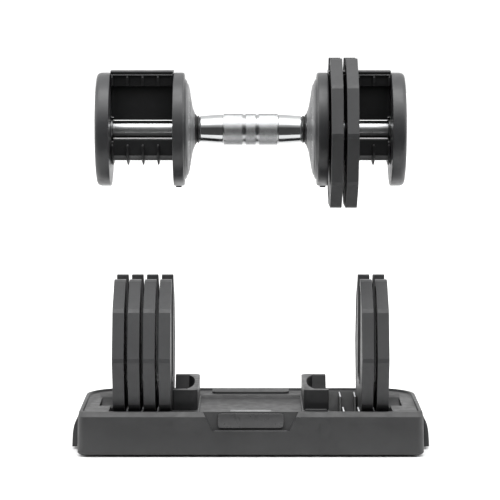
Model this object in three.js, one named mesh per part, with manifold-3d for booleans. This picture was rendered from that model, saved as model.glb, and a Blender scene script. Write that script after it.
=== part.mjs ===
// Adjustable dumbbell with its storage tray, in millimetres, +Z up, floor at z = 0.
// X runs along the handle, -Y is the front of the tray. The handle is shown lifted off the tray.
import * as THREE from 'three';
import { mergeVertices } from 'three/addons/utils/BufferGeometryUtils.js';
import Module from 'manifold-3d';

const wasm = await Module();
wasm.setup();

// ---- driving dimensions ----
const GAP = 0.3; // clearance between pieces that touch
const PLATE = {
  // reach is from the middle to the flats at top and bottom
  sides: 10, acrossFlats: 160, reach: 76.5, drop: 3,
  thick: 12, pitch: 15.7, first: 87.4, perSide: 4, chamfer: 1.2,
};
const SLOT = { halfWidth: 20, floor: -34 }; // open slot of a plate, height from the handle axis
const FACE = { inset: 7, slotMargin: 2, depth: 0.7 }; // sunken field on a plate's faces
const AXIS_DOCKED = 101.5; // height of the handle axis when docked
const LIFT = 227.5; // how far the handle is shown above its docked place
const DISC = { radius: 58.6, innerFrom: 68.3, innerTo: 79.6, outerFrom: 144.2, outerTo: 158.5 };
const DISH = { radius: 48.4, floor: 75.8, lip: 65.8, lipRadius: 49.6 };
const SHAFT = { radius: 9, end: 151, bore: 9.3 };
const GRIP = {
  knurlEnd: 28, taperEnd: 53, collarEnd: 57.4, radius: 16.3, shoulder: 15.5, neck: 14, collar: 14.3,
};
const GROOVE = { from: 5.4, to: 8.2, depth: 0.8 };
const DIAL = { radius: 47.8, edge: 65, back: 75.4 };
const BUSH = { radius: 11.5, flange: 12.6, from: 142, end: 152.6 };
const HOUSING = {
  from: 79.9, to: 143.9, halfDepth: 19, header: 16, web: 8, top: 61, headerFoot: 45, floor: -31.5,
};
const FIN = {
  thick: 2.4, top: -16, tip: -36.5, halfTop: 24, halfTip: 10, crest: 57, crestFoot: 46, crestHalf: 21,
};
const PLUNGER = { x: 74.6, wide: 6, deep: 8, top: -53.4, tip: -60.2, slotTop: -49.4, radius: 1.9 };
const TRAY = {
  foot: 2, top: 46, deck: 44, wall: 3, halfLength: 176.3, topLength: 174.3, front: 85, topFront: 80,
};
const WELL = { gap: 5, under: 2.5, from: 80.2, to: 144, discEnd: 156.8, discRadius: 64, cover: 2.5 };
const RIB = { thick: 2.2, top: 43.4, dip: 28, dipHalf: 26, shoulder: 34, base: 1.4 };
const CRADLE = {
  from: 54, to: 79.9, halfDepth: 57, top: 64.8, corner: 6,
  pocket: 60.2, pocketFrom: 66.6, coneRadius: 50, coneFrom: 57, // the hollow that takes the inner disc
};
const CHANNEL = { half: 52.6, front: -66, back: 42, floor: 38.5 }; // shallow dish below the grip
const LEDGE = { half: 41, from: 52, corner: 4 }; // step in front of the back rim
const NOTCH = { halfTop: 48, halfFloor: 39, floor: 27, depth: 79 };
const NAMEPLATE = { half: 33.5, bottom: 29.4, top: 44.4, thick: 2, corner: 4 };
const LABEL = { half: 21, from: -50, to: -32, thick: 0.8 };
const HOOD = { out: 184.4, halfWidth: 38, bottom: 3, top: 35, wall: 2.4 }; // lifting grips low on the ends
const FOOT = { radius: 9, x: 150, y: 62, seat: 1.2 };
const BASE = { bottom: 2.3, top: 5, inset: 4.5 };

const colours = {
  plate: 0x4a4b4d, discs: 0x2b2c2e, tray: 0x3f4042, dark: 0x1d1e20, chrome: 0xc9ccd0, rubber: 0x161616,
  label: 0x8f9194, steel: 0x9a9da1, dial: 0x7b7d80, bronze: 0x8a6d3b,
};

// ---- shape helpers ----
const toSolid = (geometry) => {
  const bare = geometry.clone();
  bare.deleteAttribute('normal');
  bare.deleteAttribute('uv');
  const merged = mergeVertices(bare, 1e-4);
  const vertProperties = new Float32Array(merged.attributes.position.array);
  const triVerts = new Uint32Array(merged.index.array);
  const solid = new wasm.Manifold(new wasm.Mesh({ numProp: 3, vertProperties, triVerts }));
  if (solid.volume() > 0) return solid;
  for (let i = 0; i < triVerts.length; i += 3) {
    [triVerts[i], triVerts[i + 1]] = [triVerts[i + 1], triVerts[i]];
  }
  return new wasm.Manifold(new wasm.Mesh({ numProp: 3, vertProperties, triVerts }));
};

const toGeometry = (solid) => {
  const mesh = solid.getMesh();
  const geometry = new THREE.BufferGeometry();
  geometry.setAttribute('position', new THREE.Float32BufferAttribute(Array.from(mesh.vertProperties), 3));
  geometry.setIndex(Array.from(mesh.triVerts));
  geometry.computeVertexNormals();
  return geometry;
};

const axes = {
  x: new THREE.Matrix4().makeBasis(
    new THREE.Vector3(0, 1, 0), new THREE.Vector3(0, 0, 1), new THREE.Vector3(1, 0, 0)),
  y: new THREE.Matrix4().makeBasis(
    new THREE.Vector3(0, 0, 1), new THREE.Vector3(1, 0, 0), new THREE.Vector3(0, 1, 0)),
  z: new THREE.Matrix4(),
};

// A closed outline pushed along one axis. Outlines are [y, z], [z, x] and [x, y] pairs for x, y and z.
const prism = (axis, outline, from, to, bevel = 0) => {
  const shape = outline instanceof THREE.Shape
    ? outline
    : new THREE.Shape(outline.map(([a, b]) => new THREE.Vector2(a, b)));
  const geometry = new THREE.ExtrudeGeometry(shape, {
    depth: to - from - 2 * bevel,
    steps: 1,
    bevelEnabled: bevel > 0,
    bevelThickness: bevel,
    bevelSize: bevel,
    bevelOffset: -bevel,
    bevelSegments: 1,
    curveSegments: 4,
  });
  geometry.translate(0, 0, from + bevel);
  geometry.applyMatrix4(axes[axis]);
  return toSolid(geometry);
};

const box = (x, y, z) => prism('z', [[x[0], y[0]], [x[1], y[0]], [x[1], y[1]], [x[0], y[1]]], z[0], z[1]);

// A profile of [radius, x] pairs turned about the X axis, closed on itself or on the axis.
const turned = (profile, segments = 36) => {
  const points = profile.map(([radius, x]) => new THREE.Vector2(radius, x));
  if (profile[0][0] > 0) points.push(points[0].clone());
  const geometry = new THREE.LatheGeometry(points, segments);
  geometry.applyMatrix4(new THREE.Matrix4().makeBasis(
    new THREE.Vector3(0, 0, 1), new THREE.Vector3(1, 0, 0), new THREE.Vector3(0, 1, 0)));
  return toSolid(geometry);
};

const roundedShape = (x0, x1, y0, y1, radius) => {
  const shape = new THREE.Shape();
  shape.moveTo(x0 + radius, y0);
  shape.lineTo(x1 - radius, y0);
  shape.absarc(x1 - radius, y0 + radius, radius, -Math.PI / 2, 0, false);
  shape.lineTo(x1, y1 - radius);
  shape.absarc(x1 - radius, y1 - radius, radius, 0, Math.PI / 2, false);
  shape.lineTo(x0 + radius, y1);
  shape.absarc(x0 + radius, y1 - radius, radius, Math.PI / 2, Math.PI, false);
  shape.lineTo(x0, y0 + radius);
  shape.absarc(x0 + radius, y0 + radius, radius, Math.PI, 1.5 * Math.PI, false);
  return shape;
};

// Rounded rectangles stacked in height and skinned: [z, halfLength, halfDepth, frontCorner, backCorner].
const loft = (sections) => {
  const cornerSteps = 5;
  const ring = ([z, halfX, halfY, front, back]) => {
    const corners = [
      [halfX - front, -halfY + front, front, -90],
      [halfX - back, halfY - back, back, 0],
      [-halfX + back, halfY - back, back, 90],
      [-halfX + front, -halfY + front, front, 180],
    ];
    return corners.flatMap(([cx, cy, radius, start]) => Array.from({ length: cornerSteps + 1 }, (_, i) => {
      const angle = THREE.MathUtils.degToRad(start + 90 * i / cornerSteps);
      return [cx + radius * Math.cos(angle), cy + radius * Math.sin(angle), z];
    }));
  };
  const rings = sections.map(ring);
  const count = rings[0].length;
  const positions = rings.flat();
  const index = [];
  for (let level = 0; level < rings.length - 1; level += 1) {
    for (let i = 0; i < count; i += 1) {
      const a = level * count + i;
      const b = level * count + (i + 1) % count;
      index.push(a, b, b + count, a, b + count, a + count);
    }
  }
  const bottom = positions.push([0, 0, sections[0][0]]) - 1;
  const top = positions.push([0, 0, sections.at(-1)[0]]) - 1;
  const last = (rings.length - 1) * count;
  for (let i = 0; i < count; i += 1) {
    index.push(bottom, (i + 1) % count, i);
    index.push(top, last + i, last + (i + 1) % count);
  }
  const geometry = new THREE.BufferGeometry();
  geometry.setAttribute('position', new THREE.Float32BufferAttribute(positions.flat(), 3));
  geometry.setIndex(index);
  return toSolid(geometry);
};

const model = new THREE.Group();
const finishes = {
  plate: [colours.plate, 0.55, 0.6], discs: [colours.discs, 0.45, 0], tray: [colours.tray, 0.6, 0],
  dark: [colours.dark, 0.5, 0], chrome: [colours.chrome, 0.12, 1], rubber: [colours.rubber, 0.8, 0],
  label: [colours.label, 0.5, 0.3], steel: [colours.steel, 0.35, 1], dial: [colours.dial, 0.5, 0],
  bronze: [colours.bronze, 0.4, 1],
};

const addPiece = (group, name, solid, finish) => {
  const [color, roughness, metalness] = finishes[finish];
  const material = new THREE.MeshStandardMaterial({ color, roughness, metalness });
  const mesh = new THREE.Mesh(toGeometry(solid), material);
  mesh.name = name;
  group.add(mesh);
  return mesh;
};

// ---- weight plates ----
const CORNER_SLOPE = Math.tan(2 * Math.PI / PLATE.sides);
const halfFlat = (inradius, reach) =>
  inradius * Math.tan(Math.PI / PLATE.sides) + (inradius - reach) / CORNER_SLOPE;

// A decagon whose top and bottom corners are cut back to flats at a given reach.
const decagon = (inradius, reach) => {
  const radius = inradius / Math.cos(Math.PI / PLATE.sides);
  const flat = halfFlat(inradius, reach);
  return Array.from({ length: PLATE.sides }, (_, i) => {
    const angle = (i + 0.5) * 2 * Math.PI / PLATE.sides - Math.PI / 2;
    const [y, z] = [radius * Math.cos(angle), radius * Math.sin(angle)];
    return Math.abs(z) > reach ? [Math.sign(y) * flat, Math.sign(z) * reach] : [y, z];
  });
};

// The same with its top edge opened by the slot, outline running anticlockwise from the slot's right lip.
const slottedDecagon = (inradius, reach, slotHalf, slotFloor) => {
  const corners = decagon(inradius, reach);
  const topRight = corners.findIndex(([y, z]) => y > 0 && z === reach);
  const around = [...corners.slice(topRight + 1), ...corners.slice(0, topRight + 1)];
  return [...around, [slotHalf, reach], [slotHalf, slotFloor], [-slotHalf, slotFloor], [-slotHalf, reach]];
};

const makePlate = () => {
  const half = PLATE.thick / 2;
  const inradius = PLATE.acrossFlats / 2;
  const floor = SLOT.floor + PLATE.drop;
  const outline = slottedDecagon(inradius, PLATE.reach, SLOT.halfWidth, floor);
  const field = slottedDecagon(
    inradius - FACE.inset, PLATE.reach - FACE.inset,
    SLOT.halfWidth + FACE.slotMargin, floor - FACE.slotMargin,
  );
  return prism('x', outline, -half, half, PLATE.chamfer)
    .subtract(prism('x', field, half - FACE.depth, half + 1))
    .subtract(prism('x', field, -half - 1, -half + FACE.depth));
};

const plateSolid = makePlate();
const PLATE_DOCKED = AXIS_DOCKED - PLATE.drop;
const LATCHED_RIGHT = 2; // right plates, counted outwards, that hang on the handle
for (const side of ['l', 'r']) {
  for (let number = 1; number <= PLATE.perSide; number += 1) {
    const latched = side === 'r' && number <= LATCHED_RIGHT;
    const plate = addPiece(model, `plate_${side}${number}`, plateSolid, 'plate');
    const distance = PLATE.first + (number - 1) * PLATE.pitch;
    plate.position.set(side === 'r' ? distance : -distance, 0, PLATE_DOCKED + (latched ? LIFT : 0));
  }
}

// ---- handle: both ends are alike, the left one is the right one turned half round ----
const innerDisc = () => {
  const { radius, innerFrom, innerTo } = DISC;
  const cup = turned([
    [DISH.radius, DISH.lip], [DISH.lipRadius, DISH.lip],
    [radius - 4, innerFrom - 1.2], [radius - 3, innerFrom],
    [radius - 0.9, innerFrom + 0.9], [radius, innerFrom + 3],
    [radius, innerTo - 1.2], [radius - 1.2, innerTo], [BUSH.flange, innerTo], [BUSH.flange, DISH.floor],
    [DISH.radius, DISH.floor],
  ]);
  const { x, wide, deep, slotTop } = PLUNGER;
  const half = wide / 2 + GAP;
  return cup.subtract(box([x - half, x + half], [-deep / 2 - GAP, deep / 2 + GAP], [-radius - 2, slotTop]));
};

const outerDisc = () => {
  const { radius, outerFrom, outerTo } = DISC;
  return turned([
    [0, BUSH.end + GAP], [BUSH.radius + GAP, BUSH.end + GAP], [BUSH.radius + GAP, outerFrom],
    [radius - 1.2, outerFrom], [radius, outerFrom + 1.2],
    [radius, outerTo - 4.5], [radius - 1.3, outerTo - 1.3],
    [radius - 4.5, outerTo], [0, outerTo],
  ]);
};

const finPlaces = Array.from({ length: PLATE.perSide }, (_, i) => PLATE.first + (i + 0.5) * PLATE.pitch);

const bushRoom = () => turned([
  [0, BUSH.from - GAP], [BUSH.flange + GAP, BUSH.from - GAP], [BUSH.flange + GAP, HOUSING.to + 1],
  [0, HOUSING.to + 1],
], 24);

const housingCover = () => {
  const { from, to, halfDepth, header, web, top, headerFoot } = HOUSING;
  const lid = box([from, to], [-halfDepth, halfDepth], [top - 3, top]);
  const head = box([from, to], [-header, header], [headerFoot, top - 2]);
  const panel = box([from, to], [-web, web], [SHAFT.radius + 0.8, headerFoot + 1]);
  const crests = finPlaces.map((x) => box(
    [x - FIN.thick / 2, x + FIN.thick / 2], [-FIN.crestHalf, FIN.crestHalf], [FIN.crestFoot, FIN.crest]));
  return crests.reduce((sum, crest) => sum.add(crest), lid.add(head).add(panel)).subtract(bushRoom());
};

const housingTrough = () => {
  const { from, to, header, halfDepth, floor } = HOUSING;
  const body = box([from, to], [-header, header], [floor, -SHAFT.radius - 0.8]);
  const sill = box([from, to], [-halfDepth, halfDepth], [floor, floor + 6]);
  const fin = [
    [-FIN.halfTip, FIN.tip], [FIN.halfTip, FIN.tip], [FIN.halfTop, FIN.top - 6], [FIN.halfTop, FIN.top],
    [-FIN.halfTop, FIN.top], [-FIN.halfTop, FIN.top - 6],
  ];
  const half = FIN.thick / 2;
  return finPlaces.reduce((sum, x) => sum.add(prism('x', fin, x - half, x + half)), body.add(sill))
    .subtract(bushRoom());
};

const outerBush = () => turned([
  [SHAFT.bore, BUSH.from], [BUSH.flange, BUSH.from], [BUSH.flange, DISC.outerFrom - GAP],
  [BUSH.radius, DISC.outerFrom - GAP], [BUSH.radius, BUSH.end], [SHAFT.bore, BUSH.end],
], 24);

const innerBush = () => turned([
  [SHAFT.bore, DISH.floor], [BUSH.flange - GAP, DISH.floor], [BUSH.flange - GAP, DISC.innerTo - 0.2],
  [SHAFT.bore, DISC.innerTo - 0.2],
], 24);

const lockPlunger = () => {
  const { x, wide, deep, top, tip } = PLUNGER;
  const outline = [[-deep / 2, top], [-deep / 2, tip + 1.5], [-deep / 2 + 1.5, tip], [deep / 2 - 1.5, tip],
    [deep / 2, tip + 1.5], [deep / 2, top]];
  return prism('x', outline, x - wide / 2, x + wide / 2);
};

const plungerSpring = () => {
  const coils = 3;
  const from = PLUNGER.slotTop - GAP;
  const pitch = (from - (PLUNGER.top + GAP)) / coils;
  const profile = [[0, from]];
  for (let coil = 0; coil < coils; coil += 1) {
    profile.push([PLUNGER.radius, from - coil * pitch - 0.1]);
    profile.push([PLUNGER.radius - 0.6, from - (coil + 0.5) * pitch]);
  }
  profile.push([PLUNGER.radius, from - coils * pitch + 0.1], [0, from - coils * pitch]);
  const geometry = new THREE.LatheGeometry(profile.map(([radius, y]) => new THREE.Vector2(radius, y)), 12);
  geometry.rotateX(Math.PI / 2);
  geometry.translate(PLUNGER.x, 0, 0);
  return toSolid(geometry);
};

const dial = () => {
  const front = GRIP.collarEnd + GAP;
  return turned([
    [SHAFT.bore, front], [17.4, front], [22, 59.8], [34, 61.8],
    [DIAL.radius - 1, 64.2], [DIAL.radius, DIAL.edge],
    [DIAL.radius, DIAL.back], [SHAFT.bore, DIAL.back],
  ]);
};

const collar = () => {
  const { collar: radius, taperEnd, collarEnd } = GRIP;
  const from = taperEnd + GAP;
  return turned([[SHAFT.bore, from], [radius, from], [radius, collarEnd], [SHAFT.bore, collarEnd]], 24);
};

const taper = () => turned([
  [SHAFT.bore, GRIP.knurlEnd + GAP], [GRIP.shoulder, GRIP.knurlEnd + GAP], [GRIP.shoulder, GRIP.knurlEnd + 4],
  [GRIP.neck, GRIP.taperEnd], [SHAFT.bore, GRIP.taperEnd],
], 32);

const knurledSleeve = () => {
  const { radius, knurlEnd } = GRIP;
  const low = radius - GROOVE.depth;
  return turned([
    [SHAFT.bore, -knurlEnd], [radius - 1, -knurlEnd], [radius, -knurlEnd + 1],
    [radius, -GROOVE.to], [low, -GROOVE.to], [low, -GROOVE.from], [radius, -GROOVE.from],
    [radius, GROOVE.from], [low, GROOVE.from], [low, GROOVE.to], [radius, GROOVE.to],
    [radius, knurlEnd - 1], [radius - 1, knurlEnd], [SHAFT.bore, knurlEnd],
  ], 28);
};

const endPieces = {
  inner_disc: [innerDisc(), 'discs'], outer_disc: [outerDisc(), 'discs'],
  housing_cover: [housingCover(), 'dark'], housing_trough: [housingTrough(), 'dark'],
  outer_bush: [outerBush(), 'steel'], inner_bush: [innerBush(), 'bronze'],
  lock_plunger: [lockPlunger(), 'dark'], plunger_spring: [plungerSpring(), 'steel'],
  weight_dial: [dial(), 'dial'], grip_collar: [collar(), 'dark'], grip_taper: [taper(), 'chrome'],
};

const handle = new THREE.Group();
handle.position.z = AXIS_DOCKED + LIFT;
model.add(handle);
for (const [side, turn] of [['r', 0], ['l', Math.PI]]) {
  const end = new THREE.Group();
  end.rotation.z = turn;
  handle.add(end);
  for (const [name, [solid, finish]] of Object.entries(endPieces)) {
    addPiece(end, `${name}_${side}`, solid, finish);
  }
}
addPiece(handle, 'grip_sleeve', knurledSleeve(), 'chrome');
addPiece(handle, 'selector_shaft', turned([
  [0, -SHAFT.end], [SHAFT.radius - 1, -SHAFT.end], [SHAFT.radius, 1 - SHAFT.end],
  [SHAFT.radius, SHAFT.end - 1], [SHAFT.radius - 1, SHAFT.end], [0, SHAFT.end],
], 32), 'chrome');

// ---- tray ----
// Cross-section of the plate wells: the lower part of a plate's outline grown by a gap,
// closed off at a height.
const WELL_FLOOR = PLATE_DOCKED - PLATE.reach - WELL.under;
const wellOutline = (gap, floor, top) => {
  const inradius = PLATE.acrossFlats / 2 + gap;
  const radius = inradius / Math.cos(Math.PI / PLATE.sides);
  const corner = (degrees) => {
    const angle = THREE.MathUtils.degToRad(degrees);
    return [radius * Math.sin(angle), PLATE_DOCKED - radius * Math.cos(angle)];
  };
  const [middle, wide] = [corner(54), corner(90)];
  const reach = middle[0] + (wide[0] - middle[0]) * (top - middle[1]) / (wide[1] - middle[1]);
  const low = [halfFlat(inradius, PLATE_DOCKED - floor), floor];
  const right = top > middle[1]
    ? [low, middle, [reach, top]]
    : [low, [halfFlat(inradius, PLATE_DOCKED - top), top]];
  const left = right.map(([y, z]) => [-y, z]).reverse();
  return [...right, ...left];
};

const atDock = (solid) => solid.translate([0, 0, AXIS_DOCKED]);
const bothEnds = (solid) => solid.add(solid.mirror([1, 0, 0]));

const trayShell = () => {
  const { foot, top, deck, wall, halfLength, topLength, front, topFront } = TRAY;
  const outer = loft([
    [foot, halfLength - 1.5, front - 1.5, 8, 30], [foot + 4, halfLength, front, 8, 32],
    [top - 4.4, topLength + 1, front - 0.8, 8, 38], [top - 1, topLength + 0.4, topFront + 1, 8, 40],
    [top, topLength, topFront, 8, 40],
  ]);
  const inside = loft([
    [foot - 1, halfLength - wall - 1, front - wall - 1, 6, 28],
    [foot + 4, halfLength - wall, front - wall, 6, 29],
    [deck - wall, topLength - wall, topFront - wall, 6, 36],
  ]);
  const lip = 3.5;
  const deckField = loft([
    [deck, topLength - lip, topFront - lip, 5, 37],
    [top + 1, topLength - lip + 0.6, topFront - lip + 0.6, 5, 37],
  ]);
  const skinOutline = wellOutline(WELL.gap + WELL.cover, WELL_FLOOR - WELL.cover, deck);
  const wellSkin = prism('x', skinOutline, WELL.from - WELL.cover, WELL.discEnd + WELL.cover);
  const pocketSkin = box([CRADLE.from, WELL.from], [-50, 50], [34, deck - 1]);
  const notchSkin = box([-54, 54], [-NOTCH.depth - 1, CHANNEL.front + 2], [NOTCH.floor - 3, deck - 1]);
  const channelSkin = box([-54, 54], [CHANNEL.front - 3, CHANNEL.back + 3], [CHANNEL.floor - 3, deck - 1]);
  const wells = prism('x', wellOutline(WELL.gap, WELL_FLOOR, top + 4), WELL.from, WELL.to + 1);
  const discSlot = atDock(turned([
    [0, WELL.to], [WELL.discRadius, WELL.to], [WELL.discRadius, WELL.discEnd], [0, WELL.discEnd],
  ]));
  const discPocket = atDock(turned([
    [0, CRADLE.pocketFrom], [CRADLE.pocket, CRADLE.pocketFrom], [CRADLE.pocket, WELL.from + 0.5],
    [0, WELL.from + 0.5],
  ]));
  const tip = AXIS_DOCKED + PLUNGER.tip;
  const relief = box([PLUNGER.x - 5, PLUNGER.x + 5], [-7, 7], [tip - 3, tip + 3]);
  const { front: near, back: far, floor } = CHANNEL;
  const channel = prism('x', [
    [near, top + 2], [near, floor + 4], [near + 14, floor + 1], [0, floor], [far - 18, floor + 0.8],
    [far - 3, floor + 3.2], [far, top + 2],
  ], -CHANNEL.half, CHANNEL.half);
  const notch = prism('y', [
    [NOTCH.floor, -NOTCH.halfFloor], [top + 2, -NOTCH.halfTop - 1], [top + 2, NOTCH.halfTop + 1],
    [NOTCH.floor, NOTCH.halfFloor],
  ], -front - 5, -NOTCH.depth);
  const { half: reach, from, corner } = LEDGE;
  const ledge = prism('z', [
    [corner - reach, from], [reach - corner, from], [reach, from + corner], [reach, topFront - 2],
    [-reach, topFront - 2], [-reach, from + corner],
  ], deck - 1, top);
  return outer
    .subtract(inside)
    .add(bothEnds(wellSkin.add(pocketSkin)))
    .add(notchSkin)
    .add(channelSkin)
    .subtract(deckField)
    .add(ledge)
    .subtract(bothEnds(wells.add(discSlot).add(discPocket).add(relief)))
    .subtract(channel)
    .subtract(notch);
};

const cradle = () => {
  const { from, to, halfDepth, top, corner, pocket, pocketFrom, coneRadius, coneFrom } = CRADLE;
  const plan = roundedShape(from, to + corner, -halfDepth, halfDepth, corner);
  const block = prism('z', plan, TRAY.deck + GAP, top)
    .intersect(box([from - 1, to], [-halfDepth - 1, halfDepth + 1], [0, top + 1]));
  const cavity = turned([
    [0, coneFrom], [24, coneFrom], [coneRadius, coneFrom + 6.4], [pocket, pocketFrom],
    [pocket, to + 2], [0, to + 2],
  ]);
  return block.subtract(atDock(cavity));
};

const plateRack = () => {
  const half = RIB.thick / 2;
  const floor = WELL_FLOOR + GAP;
  const outline = wellOutline(WELL.gap - GAP, floor, RIB.top);
  const { dip, dipHalf, shoulder, top, base } = RIB;
  const rightFlank = outline.slice(0, outline.length / 2);
  const leftFlank = outline.slice(outline.length / 2);
  const rib = [
    ...rightFlank, [shoulder, top], [dipHalf, dip], [-dipHalf, dip], [-shoulder, top], ...leftFlank,
  ];
  const reach = rightFlank[0][0] - 0.5;
  const floorPlate = box([WELL.from + 0.5, WELL.to - 0.4], [-reach, reach], [floor, floor + base]);
  return finPlaces.slice(0, -1).reduce((sum, x) => sum.add(prism('x', rib, x - half, x + half)), floorPlate);
};

const sideHood = () => {
  const { out, halfWidth, bottom, top, wall } = HOOD;
  const inner = TRAY.halfLength + GAP;
  const visor = (reach, crest, foot, root) => [
    [foot, root], [foot, reach], [crest - 15, reach - 0.8], [crest - 6, reach - 3], [crest, inner],
    [crest, root],
  ];
  return prism('y', visor(out, top, bottom, inner), -halfWidth, halfWidth)
    .subtract(prism(
      'y', visor(out - wall, top - wall, bottom - 1, inner - 1), wall - halfWidth, halfWidth - wall));
};

const tray = new THREE.Group();
model.add(tray);
addPiece(tray, 'tray_shell', trayShell(), 'tray');
const sidePieces = {
  cradle: [cradle(), 'dark'], plate_rack: [plateRack(), 'steel'], side_hood: [sideHood(), 'tray'],
};
for (const [side, turn] of [['r', 0], ['l', Math.PI]]) {
  const end = new THREE.Group();
  end.rotation.z = turn;
  tray.add(end);
  for (const [name, [solid, finish]] of Object.entries(sidePieces)) {
    addPiece(end, `${name}_${side}`, solid, finish);
  }
}

addPiece(tray, 'nameplate_blank', prism(
  'y', roundedShape(NAMEPLATE.bottom, NAMEPLATE.top, -NAMEPLATE.half, NAMEPLATE.half, NAMEPLATE.corner),
  -NOTCH.depth - GAP - NAMEPLATE.thick, -NOTCH.depth - GAP), 'dark');
addPiece(tray, 'label_blank', box(
  [-LABEL.half, LABEL.half], [LABEL.from, LABEL.to],
  [CHANNEL.floor + 1.3, CHANNEL.floor + 1.3 + LABEL.thick]), 'label');
addPiece(tray, 'tray_base', loft([
  [BASE.bottom, TRAY.halfLength - BASE.inset - 1, TRAY.front - BASE.inset - 1, 6, 27],
  [BASE.top, TRAY.halfLength - BASE.inset - 0.6, TRAY.front - BASE.inset - 0.6, 6, 27],
]).subtract([-1, 1].flatMap((sx) => [-1, 1].map((sy) => prism(
  'z', roundedShape(sx * FOOT.x - 10, sx * FOOT.x + 10, sy * FOOT.y - 10, sy * FOOT.y + 10, 9.9),
  0, BASE.bottom + FOOT.seat))).reduce((sum, seat) => sum.add(seat))), 'tray');
const FOOT_PLACES = [['front_l', -1, -1], ['front_r', 1, -1], ['back_l', -1, 1], ['back_r', 1, 1]];
for (const [corner, sx, sy] of FOOT_PLACES) {
  const foot = addPiece(tray, `foot_${corner}`, prism(
    'z', roundedShape(-FOOT.radius, FOOT.radius, -FOOT.radius, FOOT.radius, FOOT.radius - 0.1),
    0, BASE.bottom + FOOT.seat - GAP, 0.5), 'rubber');
  foot.position.set(sx * FOOT.x, sy * FOOT.y, 0);
}

export default model;
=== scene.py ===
# Visual model of an adjustable dumbbell lifted off its storage tray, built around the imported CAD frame.
# Lengths are in millimetres until a mesh is made, and X runs along the handle.
import math

import bmesh
import bpy
from mathutils import Matrix, Vector


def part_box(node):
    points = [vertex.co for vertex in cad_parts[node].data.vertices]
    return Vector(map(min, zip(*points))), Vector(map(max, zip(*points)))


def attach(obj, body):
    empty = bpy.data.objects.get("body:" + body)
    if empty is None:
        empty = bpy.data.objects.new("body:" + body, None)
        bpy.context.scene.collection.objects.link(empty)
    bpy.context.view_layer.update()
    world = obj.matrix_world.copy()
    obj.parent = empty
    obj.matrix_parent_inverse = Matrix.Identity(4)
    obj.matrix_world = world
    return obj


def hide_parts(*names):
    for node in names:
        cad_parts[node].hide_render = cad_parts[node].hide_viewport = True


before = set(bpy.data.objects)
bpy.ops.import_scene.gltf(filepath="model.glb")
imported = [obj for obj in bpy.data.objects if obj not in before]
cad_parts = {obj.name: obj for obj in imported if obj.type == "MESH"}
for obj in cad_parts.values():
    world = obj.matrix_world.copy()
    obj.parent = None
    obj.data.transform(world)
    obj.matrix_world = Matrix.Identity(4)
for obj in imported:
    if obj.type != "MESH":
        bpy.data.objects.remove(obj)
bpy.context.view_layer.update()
MM = 0.001
SIDES = ("r", "l")
MATERIALS = {}


# ---- places and sizes read from the frame ----
def span(node):
    """Lowest and highest corner of a CAD node, in millimetres."""
    low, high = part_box(node)
    return low / MM, high / MM


SHAFT_LOW, SHAFT_HIGH = span("selector_shaft")
AXIS_UP = (SHAFT_LOW.z + SHAFT_HIGH.z) / 2
SHAFT_R = (SHAFT_HIGH.z - SHAFT_LOW.z) / 2
INNER_LOW, INNER_HIGH = span("inner_disc_r")
OUTER_LOW, OUTER_HIGH = span("outer_disc_r")
DISC_R = (OUTER_HIGH.z - OUTER_LOW.z) / 2
DIAL_LOW, DIAL_HIGH = span("weight_dial_r")
DIAL_R = (DIAL_HIGH.z - DIAL_LOW.z) / 2
COLLAR_LOW, COLLAR_HIGH = span("grip_collar_r")
TAPER_LOW, TAPER_HIGH = span("grip_taper_r")
SLEEVE_HIGH = span("grip_sleeve")[1]
COVER_LOW, COVER_HIGH = span("housing_cover_r")
TROUGH_LOW, TROUGH_HIGH = span("housing_trough_r")
CRADLE_LOW, CRADLE_HIGH = span("cradle_r")
SHELL_LOW, SHELL_HIGH = span("tray_shell")
RACK_LOW, RACK_HIGH = span("plate_rack_r")
HOOD_LOW, HOOD_HIGH = span("side_hood_r")
NAMEPLATE_LOW, NAMEPLATE_HIGH = span("nameplate_blank")
PLATE_LOW, PLATE_HIGH = span("plate_r1")
PLATE_HALF = (PLATE_HIGH.x - PLATE_LOW.x) / 2
PLATE_PITCH = span("plate_r2")[0].x - PLATE_LOW.x
PLATE_FIRST = (PLATE_HIGH.x + PLATE_LOW.x) / 2
PLATE_REACH = (PLATE_HIGH.z - PLATE_LOW.z) / 2
PLATE_INRADIUS = (PLATE_HIGH.y - PLATE_LOW.y) / 2 * math.cos(math.pi / 10)
PLATE_DROP = AXIS_UP - (PLATE_HIGH.z + PLATE_LOW.z) / 2
PLATE_DOCKED = sum(corner.z for corner in span("plate_l1")) / 2
AXIS_DOCKED = PLATE_DOCKED + PLATE_DROP
PLATES = ("1", "2", "3", "4")
SLOT_HALF = 20
SLOT_FLOOR = -34 + PLATE_DROP
FIN_PLACES = [PLATE_FIRST + (i + 0.5) * PLATE_PITCH for i in range(len(PLATES))]


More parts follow.
